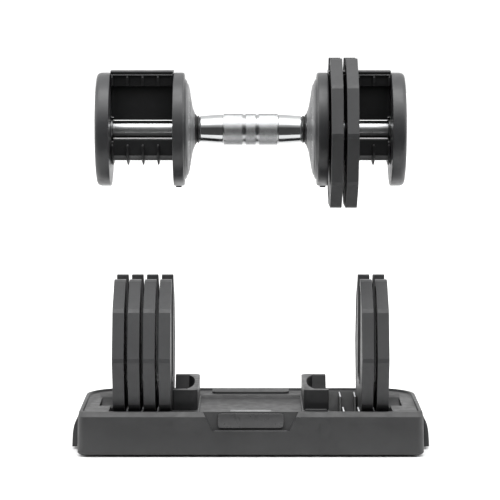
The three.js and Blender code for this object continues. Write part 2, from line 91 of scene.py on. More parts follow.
# ---- node trees ----
class Shading:
    """Builds a material's node tree in object space, so that the finish stays with the piece."""

    def __init__(self, name):
        self.material = bpy.data.materials.new(name)
        self.material.use_nodes = True
        self.tree = self.material.node_tree
        self.shader = self.tree.nodes["Principled BSDF"]
        self.place = self.tree.nodes.new("ShaderNodeTexCoord").outputs["Object"]
        MATERIALS[name] = self.material

    def node(self, kind, settings=(), inputs=()):
        made = self.tree.nodes.new(kind)
        for key, value in dict(settings).items():
            setattr(made, key, value)
        for key, value in dict(inputs).items():
            if isinstance(value, bpy.types.NodeSocket):
                self.tree.links.new(value, made.inputs[key])
            else:
                made.inputs[key].default_value = value
        return made

    def noise(self, cells_per_metre, detail=3.0, stretch=(1, 1, 1), roughness=0.55):
        mapped = self.node("ShaderNodeMapping", inputs={"Vector": self.place, "Scale": stretch})
        return self.node("ShaderNodeTexNoise", inputs={
            "Vector": mapped.outputs["Vector"], "Scale": cells_per_metre, "Detail": detail,
            "Roughness": roughness}).outputs["Fac"]

    def remap(self, value, low, high, to_low, to_high):
        return self.node("ShaderNodeMapRange", inputs={
            "Value": value, "From Min": low, "From Max": high, "To Min": to_low,
            "To Max": to_high}).outputs["Result"]

    def blend(self, factor, first, second):
        mix = self.node("ShaderNodeMix", settings={"data_type": "RGBA"}, inputs={"Factor": factor})
        for socket, colour in (("A", first), ("B", second)):
            target = next(i for i in mix.inputs if i.name == socket and i.type == "RGBA")
            if isinstance(colour, bpy.types.NodeSocket):
                self.tree.links.new(colour, target)
            else:
                target.default_value = (*colour, 1)
        return next(o for o in mix.outputs if o.type == "RGBA")

    def bump(self, height, strength, distance, below=None):
        inputs = {"Height": height, "Strength": strength, "Distance": distance}
        if below is not None:
            inputs["Normal"] = below
        return self.node("ShaderNodeBump", inputs=inputs).outputs["Normal"]

    def set(self, **values):
        for key, value in values.items():
            socket = self.shader.inputs[key.replace("_", " ")]
            if isinstance(value, bpy.types.NodeSocket):
                self.tree.links.new(value, socket)
            else:
                socket.default_value = value


def shade(colour, factor):
    return tuple(min(1, channel * factor) for channel in colour)


def moulded_plastic(name, colour, roughness, grain=900, grain_depth=0.00006, scuffs=0.25, specular=0.5):
    """Spark-eroded moulded plastic: fine grain, slow mottling, and faint rubbed streaks."""
    s = Shading(name)
    mottling = s.remap(s.noise(24, 4), 0.35, 0.65, 0, 1)
    rubbed = s.remap(s.noise(60, 6, stretch=(1, 1, 0.35), roughness=0.7), 0.62, 0.74, 0, scuffs)
    base = s.blend(mottling, shade(colour, 0.86), shade(colour, 1.14))
    s.set(Base_Color=s.blend(rubbed, base, shade(colour, 2.2)))
    s.set(Roughness=s.remap(s.noise(110, 4), 0.3, 0.7, roughness - 0.07, roughness + 0.09))
    s.set(Normal=s.bump(s.noise(grain, 3), 0.55, grain_depth))
    s.shader.inputs["Specular IOR Level"].default_value = specular
    return s.material


def coated_iron(name, colour):
    """Textured powder coat over cast plates: orange peel, a fine sparkle of grain, worn patches."""
    s = Shading(name)
    mottling = s.remap(s.noise(18, 5), 0.35, 0.65, 0, 1)
    worn = s.remap(s.noise(85, 8, roughness=0.75), 0.64, 0.76, 0, 0.3)
    base = s.blend(mottling, shade(colour, 0.88), shade(colour, 1.12))
    s.set(Base_Color=s.blend(worn, base, shade(colour, 1.9)), Metallic=0.12)
    s.set(Roughness=s.remap(s.noise(160, 3), 0.3, 0.7, 0.42, 0.58))
    peel = s.bump(s.noise(520, 2), 0.5, 0.00009)
    s.set(Normal=s.bump(s.noise(1700, 2), 0.35, 0.00004, below=peel))
    return s.material


def polished_chrome(name, roughness=0.09, lines=2600, tone=0.58):
    """Bright chrome with hairline polishing marks that run round the handle."""
    s = Shading(name)
    colour = (tone * 0.985, tone, tone * 1.01)
    s.set(Base_Color=s.blend(s.remap(s.noise(30, 3), 0.4, 0.6, 0, 1), shade(colour, 0.95), shade(colour, 1.05)))
    s.set(Metallic=1.0)
    s.set(Roughness=s.remap(s.noise(140, 5, stretch=(6, 1, 1)), 0.3, 0.7, roughness - 0.03, roughness + 0.05))
    s.set(Normal=s.bump(s.noise(lines, 2, stretch=(1, 0.02, 0.02)), 0.12, 0.00002))
    return s.material


def rubber(name, colour, roughness=0.72):
    s = Shading(name)
    dusty = s.remap(s.noise(70, 5), 0.5, 0.8, 0, 0.5)
    s.set(Base_Color=s.blend(dusty, colour, shade(colour, 2.4)))
    s.set(Roughness=s.remap(s.noise(200, 3), 0.3, 0.7, roughness - 0.08, roughness + 0.08))
    s.set(Normal=s.bump(s.noise(1300, 2), 0.4, 0.00005))
    return s.material


def printed(name, colour, roughness=0.5):
    """Pad-printed or film surface, slightly uneven in tone and gloss."""
    s = Shading(name)
    mottling = s.remap(s.noise(90, 4), 0.35, 0.65, 0, 1)
    s.set(Base_Color=s.blend(mottling, shade(colour, 0.85), shade(colour, 1.1)))
    s.set(Roughness=s.remap(s.noise(240, 3), 0.3, 0.7, roughness - 0.06, roughness + 0.08))
    s.set(Normal=s.bump(s.noise(700, 2), 0.25, 0.00003))
    return s.material


def make_materials():
    coated_iron("plate_coat", (0.032, 0.0324, 0.0335))
    moulded_plastic("disc_shell", (0.030, 0.0305, 0.032), 0.36, grain=1100)
    moulded_plastic("dial_shell", (0.135, 0.136, 0.139), 0.40, grain=1300)
    moulded_plastic("housing_shell", (0.014, 0.0142, 0.0148), 0.38, grain=800, specular=0.28)
    # Lighter grey for thin strips that stand in for highlights and reflection lines: painted highlight.
    moulded_plastic("painted_highlight_grey", (0.09, 0.09, 0.092), 0.40, grain=900)
    moulded_plastic("divider_shell", (0.012, 0.0124, 0.013), 0.40, grain=900, specular=0.35)
    moulded_plastic("tray_shell_grain", (0.023, 0.0232, 0.0238), 0.48, grain=850,
                    grain_depth=0.00006, scuffs=0.04)
    moulded_plastic("cradle_grain", (0.014, 0.0142, 0.0148), 0.42, grain=950, specular=0.3)
    moulded_plastic("rack_grain", (0.014, 0.0142, 0.0148), 0.45, grain=950)
    moulded_plastic("nameplate_grain", (0.040, 0.0402, 0.041), 0.30, grain=1500,
                    grain_depth=0.00003, scuffs=0.03)
    polished_chrome("chrome_bright", tone=0.5)
    polished_chrome("chrome_knurl", roughness=0.13, lines=900, tone=0.40)
    polished_chrome("steel_satin", roughness=0.30)
    polished_chrome("shaft_steel", roughness=0.30, tone=0.62)
    polished_chrome("bush_steel", roughness=0.38, tone=0.22)
    rubber("boot_rubber", (0.006, 0.006, 0.0062), 0.5)
    rubber("foot_rubber_grain", (0.010, 0.010, 0.010))
    printed("dial_print", (0.50, 0.50, 0.50))
    printed("label_print", (0.15, 0.151, 0.154), 0.42)
    # Pale colour for the rib-top strips: painted highlight.
    printed("rib_edge_painted_highlight", (0.62, 0.63, 0.65), 0.30)


# ---- mesh code ----
def turn_half(points):
    """The left end is the right end turned half round about the vertical."""
    return [(-x, -y, z) for x, y, z in points]


def rounded(points, steps=5, closed=False):
    """Corner points (a, b, fillet) joined into an outline, with a curve of that reach at each corner."""
    outline = []
    count = len(points)
    for i, (a, b, reach) in enumerate(points):
        ends = not closed and i in (0, count - 1)
        if reach == 0 or ends:
            outline.append((a, b))
            continue
        corner = Vector((a, b))
        before = Vector(points[i - 1][:2]) - corner
        after = Vector(points[(i + 1) % count][:2]) - corner
        start = corner + before.normalized() * min(reach, before.length * 0.49)
        end = corner + after.normalized() * min(reach, after.length * 0.49)
        for k in range(steps + 1):
            t = k / steps
            outline.append(tuple(start * (1 - t) ** 2 + corner * 2 * t * (1 - t) + end * t ** 2))
    return outline


def turned(profile, segments=128, height=0.0):
    """(x, radius) pairs turned about the handle axis. Ends on the axis close, others join up."""
    points, faces, rows = [], [], []
    for x, radius in profile:
        if radius < 1e-6:
            points.append((x, 0, height))
            rows.append([len(points) - 1] * segments)
            continue
        first = len(points)
        for k in range(segments):
            angle = 2 * math.pi * k / segments
            points.append((x, radius * math.cos(angle), height + radius * math.sin(angle)))
        rows.append(list(range(first, first + segments)))
    open_ended = profile[0][1] < 1e-6 and profile[-1][1] < 1e-6
    pairs = list(zip(rows, rows[1:])) + ([] if open_ended else [(rows[-1], rows[0])])
    for one, two in pairs:
        for k in range(segments):
            n = (k + 1) % segments
            corners = list(dict.fromkeys((one[k], one[n], two[n], two[k])))
            if len(corners) > 2:
                faces.append(corners)
    return points, faces


AXES = {
    "x": lambda a, b, c: (c, a, b),
    "y": lambda a, b, c: (b, c, a),
    "z": lambda a, b, c: (a, b, c),
}


def prism(axis, outline, low, high):
    """An outline pushed along an axis; outlines are (y, z), (z, x) and (x, y) pairs for x, y and z."""
    place = AXES[axis]
    count = len(outline)
    points = [place(a, b, low) for a, b in outline] + [place(a, b, high) for a, b in outline]
    faces = [list(range(count))[::-1], list(range(count, 2 * count))]
    faces += [[i, (i + 1) % count, (i + 1) % count + count, i + count] for i in range(count)]
    return points, faces


def box(x, y, z):
    return prism("z", [(x[0], y[0]), (x[1], y[0]), (x[1], y[1]), (x[0], y[1])], z[0], z[1])


def skinned(rings):
    """Rings of equal count joined in order, with the first and last filled."""
    count = len(rings[0])
    points = [point for ring in rings for point in ring]
    faces = [list(range(count))[::-1], list(range(len(points) - count, len(points)))]
    for level in range(len(rings) - 1):
        for i in range(count):
            a, b = level * count + i, level * count + (i + 1) % count
            faces.append([a, b, b + count, a + count])
    return points, faces


def merged(*parts):
    points, faces = [], []
    for part_points, part_faces in parts:
        start = len(points)
        points += part_points
        faces += [[start + i for i in face] for face in part_faces]
    return points, faces


def raise_by(shape, height):
    return [(x, y, z + height) for x, y, z in shape[0]], shape[1]


def make_mesh(name, shape, left=False):
    points, faces = shape
    points = turn_half(points) if left else points
    mesh = bpy.data.meshes.new(name)
    mesh.from_pydata([Vector(p) * MM for p in points], [], faces)
    work = bmesh.new()
    work.from_mesh(mesh)
    bmesh.ops.remove_doubles(work, verts=work.verts, dist=1e-7)
    bmesh.ops.recalc_face_normals(work, faces=work.faces)
    work.to_mesh(mesh)
    work.free()
    return mesh


def soften(mesh, width, segments=3, over=30):
    """Rounds every edge sharper than an angle, by that width in millimetres."""
    work = bmesh.new()
    work.from_mesh(mesh)
    edges = [e for e in work.edges if e.is_manifold and e.calc_face_angle(0) > math.radians(over)]
    bmesh.ops.bevel(work, geom=edges, offset=width * MM, offset_type="OFFSET", segments=segments,
                    profile=0.5, affect="EDGES", clamp_overlap=True)
    work.to_mesh(mesh)
    work.free()


def smooth(mesh, sharp_over):
    mesh.shade_smooth()
    mesh.set_sharp_from_angle(angle=math.radians(sharp_over))


def piece(name, shape, material, body, nodes=(), left=False, bevel=0.0, segments=3, over=30,
          sharp_over=32):
    """One finished piece: mesh, rounded edges, material, body and the CAD nodes it stands for."""
    mesh = shape if isinstance(shape, bpy.types.Mesh) else make_mesh(name, shape, left)
    mesh.name = name
    if bevel:
        soften(mesh, bevel, segments, over)
    smooth(mesh, sharp_over)
    made = bpy.data.objects.new(name, mesh)
    bpy.context.scene.collection.objects.link(made)
    mesh.materials.append(MATERIALS[material])
    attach(made, body)
    if nodes:
        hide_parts(*nodes)
    return made


def carved(name, solid, joined=(), removed=(), left=False):
    """A mesh made from a solid by joining and cutting other solids."""
    def temporary(shape):
        made = bpy.data.objects.new(name, make_mesh(name, shape, left))
        bpy.context.scene.collection.objects.link(made)
        return made

    base = temporary(solid)
    others = []
    for operation, shapes in (("UNION", joined), ("DIFFERENCE", removed)):
        for shape in shapes:
            other = temporary(shape)
            others.append(other)
            change = base.modifiers.new(operation.lower(), "BOOLEAN")
            change.operation = operation
            change.solver = "EXACT"
            change.object = other
    graph = bpy.context.evaluated_depsgraph_get()
    mesh = bpy.data.meshes.new_from_object(base.evaluated_get(graph))
    for used in [base, *others]:
        bpy.data.objects.remove(used)
    work = bmesh.new()
    work.from_mesh(mesh)
    bmesh.ops.remove_doubles(work, verts=work.verts, dist=0.02 * MM)
    bmesh.ops.dissolve_limit(work, angle_limit=math.radians(0.5), verts=work.verts, edges=work.edges)
    work.to_mesh(mesh)
    work.free()
    return mesh


# ---- weight plates ----
def half_flat(inradius, reach):
    """Half the width of the flat left when a decagon is cut off at a height from its middle."""
    return inradius * math.tan(math.pi / 10) + (inradius - reach) / math.tan(math.pi / 5)


def plate_outline(inset, margin, corner=2.3, floor_round=5.0):
    """Slotted decagon cut flat above and below, its corners small facets, shrunk by an inset and a margin."""
    inradius, reach = PLATE_INRADIUS - inset, PLATE_REACH - inset
    radius = inradius / math.cos(math.pi / 10)
    flat = half_flat(inradius, reach)
    corners = []
    for k in range(10):
        angle = math.radians(18 + 36 * k)
        y, z = radius * math.sin(angle), radius * math.cos(angle)
        if abs(z) > reach:
            y, z = math.copysign(flat, y), math.copysign(reach, z)
        corners.append((y, z))
    outline = []
    for k, (y, z) in enumerate(corners):
        point = Vector((y, z))
        before = Vector(corners[k - 1]) - point
        after = Vector(corners[(k + 1) % 10]) - point
        outline.append(tuple(point + before.normalized() * corner))
        outline.append(tuple(point + after.normalized() * corner))
    half, floor = SLOT_HALF + margin, SLOT_FLOOR - margin
    slot = [(-half, reach, 0), (-half, floor, floor_round), (half, floor, floor_round), (half, reach, 0)]
    return outline + rounded(slot, 4)


def plate_shape(centre_x, centre_z):
    """Both faces have a raised border, a small step and a sunken field."""
    step, border, slot_border = 0.7, 7.0, 2.2
    face = PLATE_HALF
    rings = [(border + 0.6, slot_border + 0.3, face - step), (border, slot_border, face), (0, 0, face),
             (0, 0, -face), (border, slot_border, -face), (border + 0.6, slot_border + 0.3, -face + step)]
    return skinned([[(centre_x + x, y, centre_z + z) for y, z in plate_outline(inset, margin)]
                    for inset, margin, x in rings])


def make_plates():
    for side in SIDES:
        for number in PLATES:
            node = f"plate_{side}{number}"
            low, high = span(node)
            shape = plate_shape((low.x + high.x) / 2, (low.z + high.z) / 2)
            piece(f"weight_{side}{number}", shape, "plate_coat", node, [node],
                  bevel=1.8, segments=6, over=60, sharp_over=17)


# ---- handle ends ----
def at_axis(profile, segments=128):
    return turned(profile, segments, AXIS_UP)


def outer_disc():
    low, high = OUTER_LOW.x, OUTER_HIGH.x
    return at_axis(rounded([
        (low, 11.8, 0), (low, DISC_R - 0.2, 1.6), (low + 1.5, DISC_R, 1.2), (high, DISC_R, 6.5),
        (high, DISC_R - 9, 1.0), (high - 0.9, DISC_R - 10.4, 0.6), (high - 0.9, DISC_R - 12, 0.6),
        (high - 0.1, DISC_R - 13.4, 0.8), (high - 0.1, 17, 0.6), (high - 1.0, 16, 0.6), (high - 1.0, 0, 0),
        (low + 7.3, 0, 0), (low + 7.3, 11.8, 0.5),
    ], closed=True), 160)


def inner_disc():
    low, high = INNER_LOW.x, INNER_HIGH.x
    front = low + 2.5
    return at_axis(rounded([
        (high - 4.5, 12.6, 0.4), (high, 12.6, 0.4), (high, DISC_R - 0.3, 1.4), (high - 1.4, DISC_R, 1.2),
        (front, DISC_R, 3.2), (front, DISC_R - 3.6, 0.7), (front + 1.1, DISC_R - 4.4, 0.5),
        (front + 1.1, DISC_R - 5.2, 0.5), (front - 0.4, DISC_R - 6.2, 0.6), (low, DIAL_R + 2.2, 1.4),
        (low, DIAL_R + 0.6, 0.5), (high - 4.5, DIAL_R + 0.6, 0.6),
    ], closed=True), 160)


DIAL_FACE = [(DIAL_LOW.x, 17.4), (DIAL_LOW.x + 2.1, 22), (DIAL_LOW.x + 4.1, 34), (DIAL_HIGH.x - 11.2, 46.8)]


def dial_x(radius):
    """Where the dial's dished face lies at a radius."""
    for (x0, r0), (x1, r1) in zip(DIAL_FACE, DIAL_FACE[1:]):
        if radius <= r1:
            return x0 + (x1 - x0) * (radius - r0) / (r1 - r0)
    return DIAL_FACE[-1][0]


def dial_profile():
    x0 = DIAL_LOW.x
    return [
        (DIAL_HIGH.x, SHAFT_R + 0.4, 0), (x0 + 0.2, SHAFT_R + 0.4, 0), (x0, 15.8, 0.5), (x0, 17.4, 1.2),
        (x0 + 2.1, 22, 5), (dial_x(31), 31, 3), (dial_x(33.4), 33.4, 0.4), (dial_x(33.8) + 0.5, 33.8, 0.3),
        (dial_x(34.6) + 0.5, 34.6, 0.3), (dial_x(35), 35, 0.4), (dial_x(46.0), 46.0, 1.6),
        (DIAL_HIGH.x - 10.2, DIAL_R, 1.0), (DIAL_HIGH.x, DIAL_R, 0.5),
    ]


def on_dial(u, v, angle, radius, lift):
    """A flat point (u across, v outward) laid on the dial's face at an angle from the top."""
    r = radius + v
    turn = angle + u / radius
    return (dial_x(r) - lift, -r * math.sin(turn), AXIS_UP + r * math.cos(turn))


def numeral(text, height, angle, radius):
    """Raised print of a number on the dial, as points and faces."""
    curve = bpy.data.curves.new("numeral", "FONT")
    curve.body = text
    curve.size = height
    curve.align_x = "CENTER"
    curve.align_y = "CENTER"
    curve.resolution_u = 3
    curve.extrude = 0.04
    holder = bpy.data.objects.new("numeral", curve)
    bpy.context.scene.collection.objects.link(holder)
    graph = bpy.context.evaluated_depsgraph_get()
    mesh = bpy.data.meshes.new_from_object(holder.evaluated_get(graph))
    points = [on_dial(v.co.x, v.co.y, angle, radius, 0.10 + v.co.z) for v in mesh.vertices]
    faces = [list(p.vertices) for p in mesh.polygons]
    bpy.data.objects.remove(holder)
    return points, faces


def tick(angle, inner, outer, width):
    points = []
    for lift in (0.0, 0.12):
        for v in (inner, outer):
            for u in (-width / 2, width / 2):
                points.append(on_dial(u, 0, angle, v, lift))
    return points, [[0, 1, 3, 2], [4, 6, 7, 5], [0, 4, 5, 1], [2, 3, 7, 6], [0, 2, 6, 4], [1, 5, 7, 3]]


def dial_marks():
    settings = ("5", "10", "15", "20", "25")
    parts = []
    for k in range(2 * len(settings)):
        angle = math.radians(36 * k)
        parts.append(numeral(settings[k % len(settings)], 6.2, angle, 40.5))
        parts += [tick(angle + math.radians(d), 36.2, 37.6, 0.5) for d in (-12, 0, 12)]
    return merged(*parts)


def boot():
    """Ribbed rubber collar that closes the gap between the grip and the dial."""
    low, high = COLLAR_LOW.x, COLLAR_HIGH.x
    return at_axis(rounded([
        (low, SHAFT_R + 0.4, 0), (low, 13.6, 0.4), (low + 0.6, 14.3, 0.4), (low + 1.4, 14.3, 0.3),
        (low + 1.7, 13.3, 0.3), (low + 2.3, 13.3, 0.3), (low + 2.6, 14.5, 0.3), (high - 0.9, 14.9, 0.5),
        (high, 16.6, 0.8), (high, SHAFT_R + 0.4, 0),
    ], closed=True), 96)


def housing_lid():
    low, high = COVER_LOW.x, COVER_HIGH.x
    top = COVER_HIGH.z
    section = rounded([(-19, top - 3.0, 0.4), (19, top - 3.0, 0.4), (19, top - 1.0, 0.7), (14.5, top, 2.5),
                       (-14.5, top, 2.5), (-19, top - 1.0, 0.7)], 4, closed=True)
    return prism("x", section, low, high)


def housing_rail():
    """Thin ledge under the lid, in a lighter grey that paints the highlight along it."""
    top = COVER_HIGH.z - 3.2
    section = rounded([(-18.6, top - 1.6, 0.3), (18.6, top - 1.6, 0.3), (17.6, top, 0.3), (-17.6, top, 0.3)],
                      3, closed=True)
    return prism("x", section, COVER_LOW.x + 0.4, COVER_HIGH.x - 0.4)


def housing_spine():
    """Header block under the lid, and the thinner panel that runs down to the shaft."""
    low, high = COVER_LOW.x, COVER_HIGH.x
    top = COVER_HIGH.z - 3.2
    head_foot = AXIS_UP + 45
    bush_from, bush_top = span("outer_bush_r")[0].x - 0.4, AXIS_UP + 13
    return merged(
        box((low, high), (-15.2, 15.2), (head_foot, top)),
        box((low, bush_from), (-8, 8), (AXIS_UP + SHAFT_R + 0.9, head_foot + 1)),
        box((bush_from - 1, high), (-8, 8), (bush_top, head_foot + 1)),
    )


def housing_trough():
    low, high = TROUGH_LOW.x, TROUGH_HIGH.x
    floor, top = AXIS_UP - 31.5, AXIS_UP - SHAFT_R - 0.9
    right = [(15.6, floor, 1.0), (18.8, floor + 0.8, 0.6), (16.6, floor + 4.8, 0.6), (15.2, floor + 5.2, 0.4),
             (15.2, top, 1.0)]
    left = [(-y, z, reach) for y, z, reach in reversed(right)]
    bush_from = span("outer_bush_r")[0].x - 0.4
    low_top = AXIS_UP - 13
    right_end = [(15.4, floor, 1.0), (15.4, low_top, 1.0)]
    left_end = [(-y, z, reach) for y, z, reach in reversed(right_end)]
    return merged(prism("x", rounded(right + left, 3, closed=True), low, bush_from),
                  prism("x", rounded(right_end + left_end, 3, closed=True), bush_from - 1, high - 0.1))


def tapered(x, levels):
    """A blade across the handle at x from (height, half thickness, half depth) levels."""
    return skinned([[(x - t, -d, AXIS_UP + z), (x + t, -d, AXIS_UP + z), (x + t, d, AXIS_UP + z),
                     (x - t, d, AXIS_UP + z)] for z, t, d in levels])


def dividers():
    low_blade = [(-36.5, 0.45, 9), (-33, 1.1, 14), (-28.5, 1.2, 21), (-22, 1.2, 24), (-16.6, 1.2, 24),
                 (-15.6, 0.7, 23.4)]
    high_blade = [(45.5, 1.2, 19.5), (53.6, 1.2, 21), (56.4, 0.6, 20.4)]
    return merged(*[tapered(x, levels) for x in FIN_PLACES for levels in (low_blade, high_blade)])


def divider_tip_highlights():
    """Small pale tips on the upper and lower dividers: painted highlight."""
    return merged(*[tapered(x, [(z - 0.5, 0.9, depth), (z + 0.5, 0.6, depth)])
                    for x in FIN_PLACES for z, depth in ((54.4, 21.3), (-15.4, 24.1))])


def outer_bush():
    low, _ = span("outer_bush_r")
    return at_axis(rounded([
        (low.x, SHAFT_R + 0.4, 0.3), (low.x, 11.9, 0.8), (low.x + 1.6, 12.6, 0.3),
        (OUTER_LOW.x - 0.3, 12.6, 0.3), (OUTER_LOW.x - 0.3, 11.4, 0), (OUTER_LOW.x + 6.5, 11.4, 0.3),
        (OUTER_LOW.x + 6.5, SHAFT_R + 0.4, 0.3),
    ], closed=True), 64)


def lock_plunger():
    low, high = span("lock_plunger_r")
    centre = (low.x + high.x) / 2
    section = rounded([(-4, high.z, 0.3), (-4, low.z + 1.6, 1.0), (-2.4, low.z, 1.0), (2.4, low.z, 1.0),
                       (4, low.z + 1.6, 1.0), (4, high.z, 0.3)], 4, closed=True)
    return prism("x", section, centre - 3, centre + 3)


def make_handle_ends():
    for side in SIDES:
        left = side == "l"
        piece(f"end_disc_{side}", outer_disc(), "disc_shell", "handle",
              [f"outer_disc_{side}"], left)
        piece(f"dial_disc_{side}", inner_disc(), "disc_shell", "handle",
              [f"inner_disc_{side}"], left)
        piece(f"dial_face_{side}", at_axis(rounded(dial_profile(), closed=True), 160), "dial_shell", "grip",
              [f"weight_dial_{side}"], left, sharp_over=40)
        piece(f"dial_numbers_{side}", dial_marks(), "dial_print", "grip", left=left)
        piece(f"boot_{side}", boot(), "boot_rubber", "grip", [f"grip_collar_{side}"], left)
        piece(f"housing_lid_{side}", housing_lid(), "housing_shell", "handle", left=left)
        piece(f"housing_rail_{side}", housing_rail(), "painted_highlight_grey", "handle", left=left)
        piece(f"housing_spine_{side}", housing_spine(), "housing_shell", "handle",
              [f"housing_cover_{side}"], left, bevel=0.5)
        piece(f"housing_keel_{side}", housing_trough(), "housing_shell", "handle",
              [f"housing_trough_{side}"], left)
        piece(f"dividers_{side}", dividers(), "housing_shell", "handle", left=left,
              bevel=0.25, segments=2)
        piece(f"divider_tip_highlights_{side}", divider_tip_highlights(), "painted_highlight_grey", "handle", left=left)
        piece(f"shaft_bush_{side}", outer_bush(), "bush_steel", "handle",
              [f"outer_bush_{side}"], left)
        piece(f"release_plunger_{side}", lock_plunger(), "divider_shell", f"lock_plunger_{side}",
              [f"lock_plunger_{side}"], left, bevel=0.4)


# ---- grip ----
def shaft():
    end = SHAFT_HIGH.x
    return at_axis(rounded([(-end, 0, 0), (-end, SHAFT_R, 1.0), (end, SHAFT_R, 1.0), (end, 0, 0)]), 96)


def grip_taper():
    low, high = TAPER_LOW.x, TAPER_HIGH.x
    return at_axis(rounded([
        (low, SHAFT_R + 0.4, 0), (low, 15.0, 0.3), (low + 0.5, 15.5, 0.4), (low + 5, 15.45, 3),
        (high - 1.6, 13.95, 0.6), (high, 13.3, 0.6), (high, SHAFT_R + 0.4, 0),
    ], closed=True), 128)


KNURL = {"pitch_count": 60, "per_pitch": 6, "depth": 0.42, "groove_from": 5.4, "groove_to": 8.2}


def wave(value):
    """Triangle wave between 0 and 1 with period 1."""
    return abs((value % 1.0) * 2 - 1)


def knurled_sleeve():
    """Diamond knurl in three bands, parted by two plain grooves."""
    end = SLEEVE_HIGH.x
    outer = SLEEVE_HIGH.z - AXIS_UP
    around = KNURL["pitch_count"] * KNURL["per_pitch"]
    pitch = 2 * math.pi * outer / KNURL["pitch_count"]
    step = pitch / KNURL["per_pitch"]
    stations = int(2 * end / step)
    points, faces = [], []
    for i in range(stations + 1):
        x = -end + 2 * end * i / stations
        distance = abs(x)
        in_groove = KNURL["groove_from"] < distance < KNURL["groove_to"]
        edge = min(end - distance, abs(distance - KNURL["groove_from"]), abs(distance - KNURL["groove_to"]))
        fade = min(1.0, edge / 0.9)
        for k in range(around):
            turn = k / around
            across = KNURL["pitch_count"] * turn
            along = x / (pitch * 1.25)
            cut = max(wave(across + along), wave(across - along))
            radius = outer - KNURL["depth"] * cut * fade - (1 - fade) * 0.15
            if in_groove:
                radius = outer - 0.8 * min(1.0, edge / 0.5)
            angle = 2 * math.pi * turn
            points.append((x, radius * math.cos(angle), AXIS_UP + radius * math.sin(angle)))
    for i in range(stations):
        for k in range(around):
            a, b = i * around + k, i * around + (k + 1) % around
            faces.append([a, b, b + around, a + around])
    for row, x in ((0, -end), (stations, end)):
        first = len(points)
        for k in range(around):
            angle = 2 * math.pi * k / around
            points.append((x, SHAFT_R * math.cos(angle), AXIS_UP + SHAFT_R * math.sin(angle)))
        for k in range(around):
            n = (k + 1) % around
            faces.append([row * around + k, row * around + n, first + n, first + k])
    inner_low, inner_high = len(points) - 2 * around, len(points) - around
    for k in range(around):
        n = (k + 1) % around
        faces.append([inner_low + k, inner_low + n, inner_high + n, inner_high + k])
    return points, faces


def make_grip():
    piece("selector_rod", shaft(), "shaft_steel", "grip", ["selector_shaft"])
    piece("knurled_sleeve", knurled_sleeve(), "chrome_knurl", "grip", ["grip_sleeve"], sharp_over=60)
    for side in SIDES:
        piece(f"grip_cone_{side}", grip_taper(), "chrome_bright", "grip", [f"grip_taper_{side}"],
              side == "l")


# ---- tray ----
TRAY = {"wall": 3.0, "lip": 3.5, "deck": SHELL_HIGH.z - 2, "bottom_half": 176.3, "top_half": 174.3,
        "depth": 85.0, "top_depth": 80.0, "front_corner": 8.0, "back_corner": 40.0}
WELL = {"gap": 5.0, "floor": PLATE_DOCKED - PLATE_REACH - 2.5, "from": 80.2, "to": 144.0, "end": 156.8,
        "disc": 64.0, "skin": 2.5}
NOTCH = {"half_top": 48.5, "half_floor": 39.0, "floor": 27.0, "depth": 79.0}
CHANNEL = {"half": 52.6, "front": -66.0, "back": 42.0, "floor": 38.5}
LEDGE = {"half": 41.0, "from": 52.0, "corner": 4.0}
DISC_HOLLOW = {"radius": DISC_R + 1.6, "from": 65.4}


def tray_ring(z, half_x, half_y, front, back, steps=14):
    corners = [(half_x, -half_y, front, -90), (half_x, half_y, back, 0), (-half_x, half_y, back, 90),
               (-half_x, -half_y, front, 180)]
    ring = []
    for x, y, radius, start in corners:
        cx, cy = x - math.copysign(radius, x), y - math.copysign(radius, y)
        for k in range(steps + 1):
            angle = math.radians(start + 90 * k / steps)
            ring.append((cx + radius * math.cos(angle), cy + radius * math.sin(angle), z))
    return ring


def well_outline(gap, floor, top):
    inradius = PLATE_INRADIUS + gap
    radius = inradius / math.cos(math.pi / 10)
    right = [(half_flat(inradius, PLATE_DOCKED - floor), floor)]
    middle = (radius * math.sin(math.radians(54)), PLATE_DOCKED - radius * math.cos(math.radians(54)))
    if top > middle[1]:
        reach = middle[0] + (radius - middle[0]) * (top - middle[1]) / (PLATE_DOCKED - middle[1])
        right += [middle, (reach, top)]
    else:
        right.append((half_flat(inradius, PLATE_DOCKED - top), top))
    return right + [(-y, z) for y, z in reversed(right)]


def mirrored(shape):
    points, faces = shape
    return turn_half(points), faces


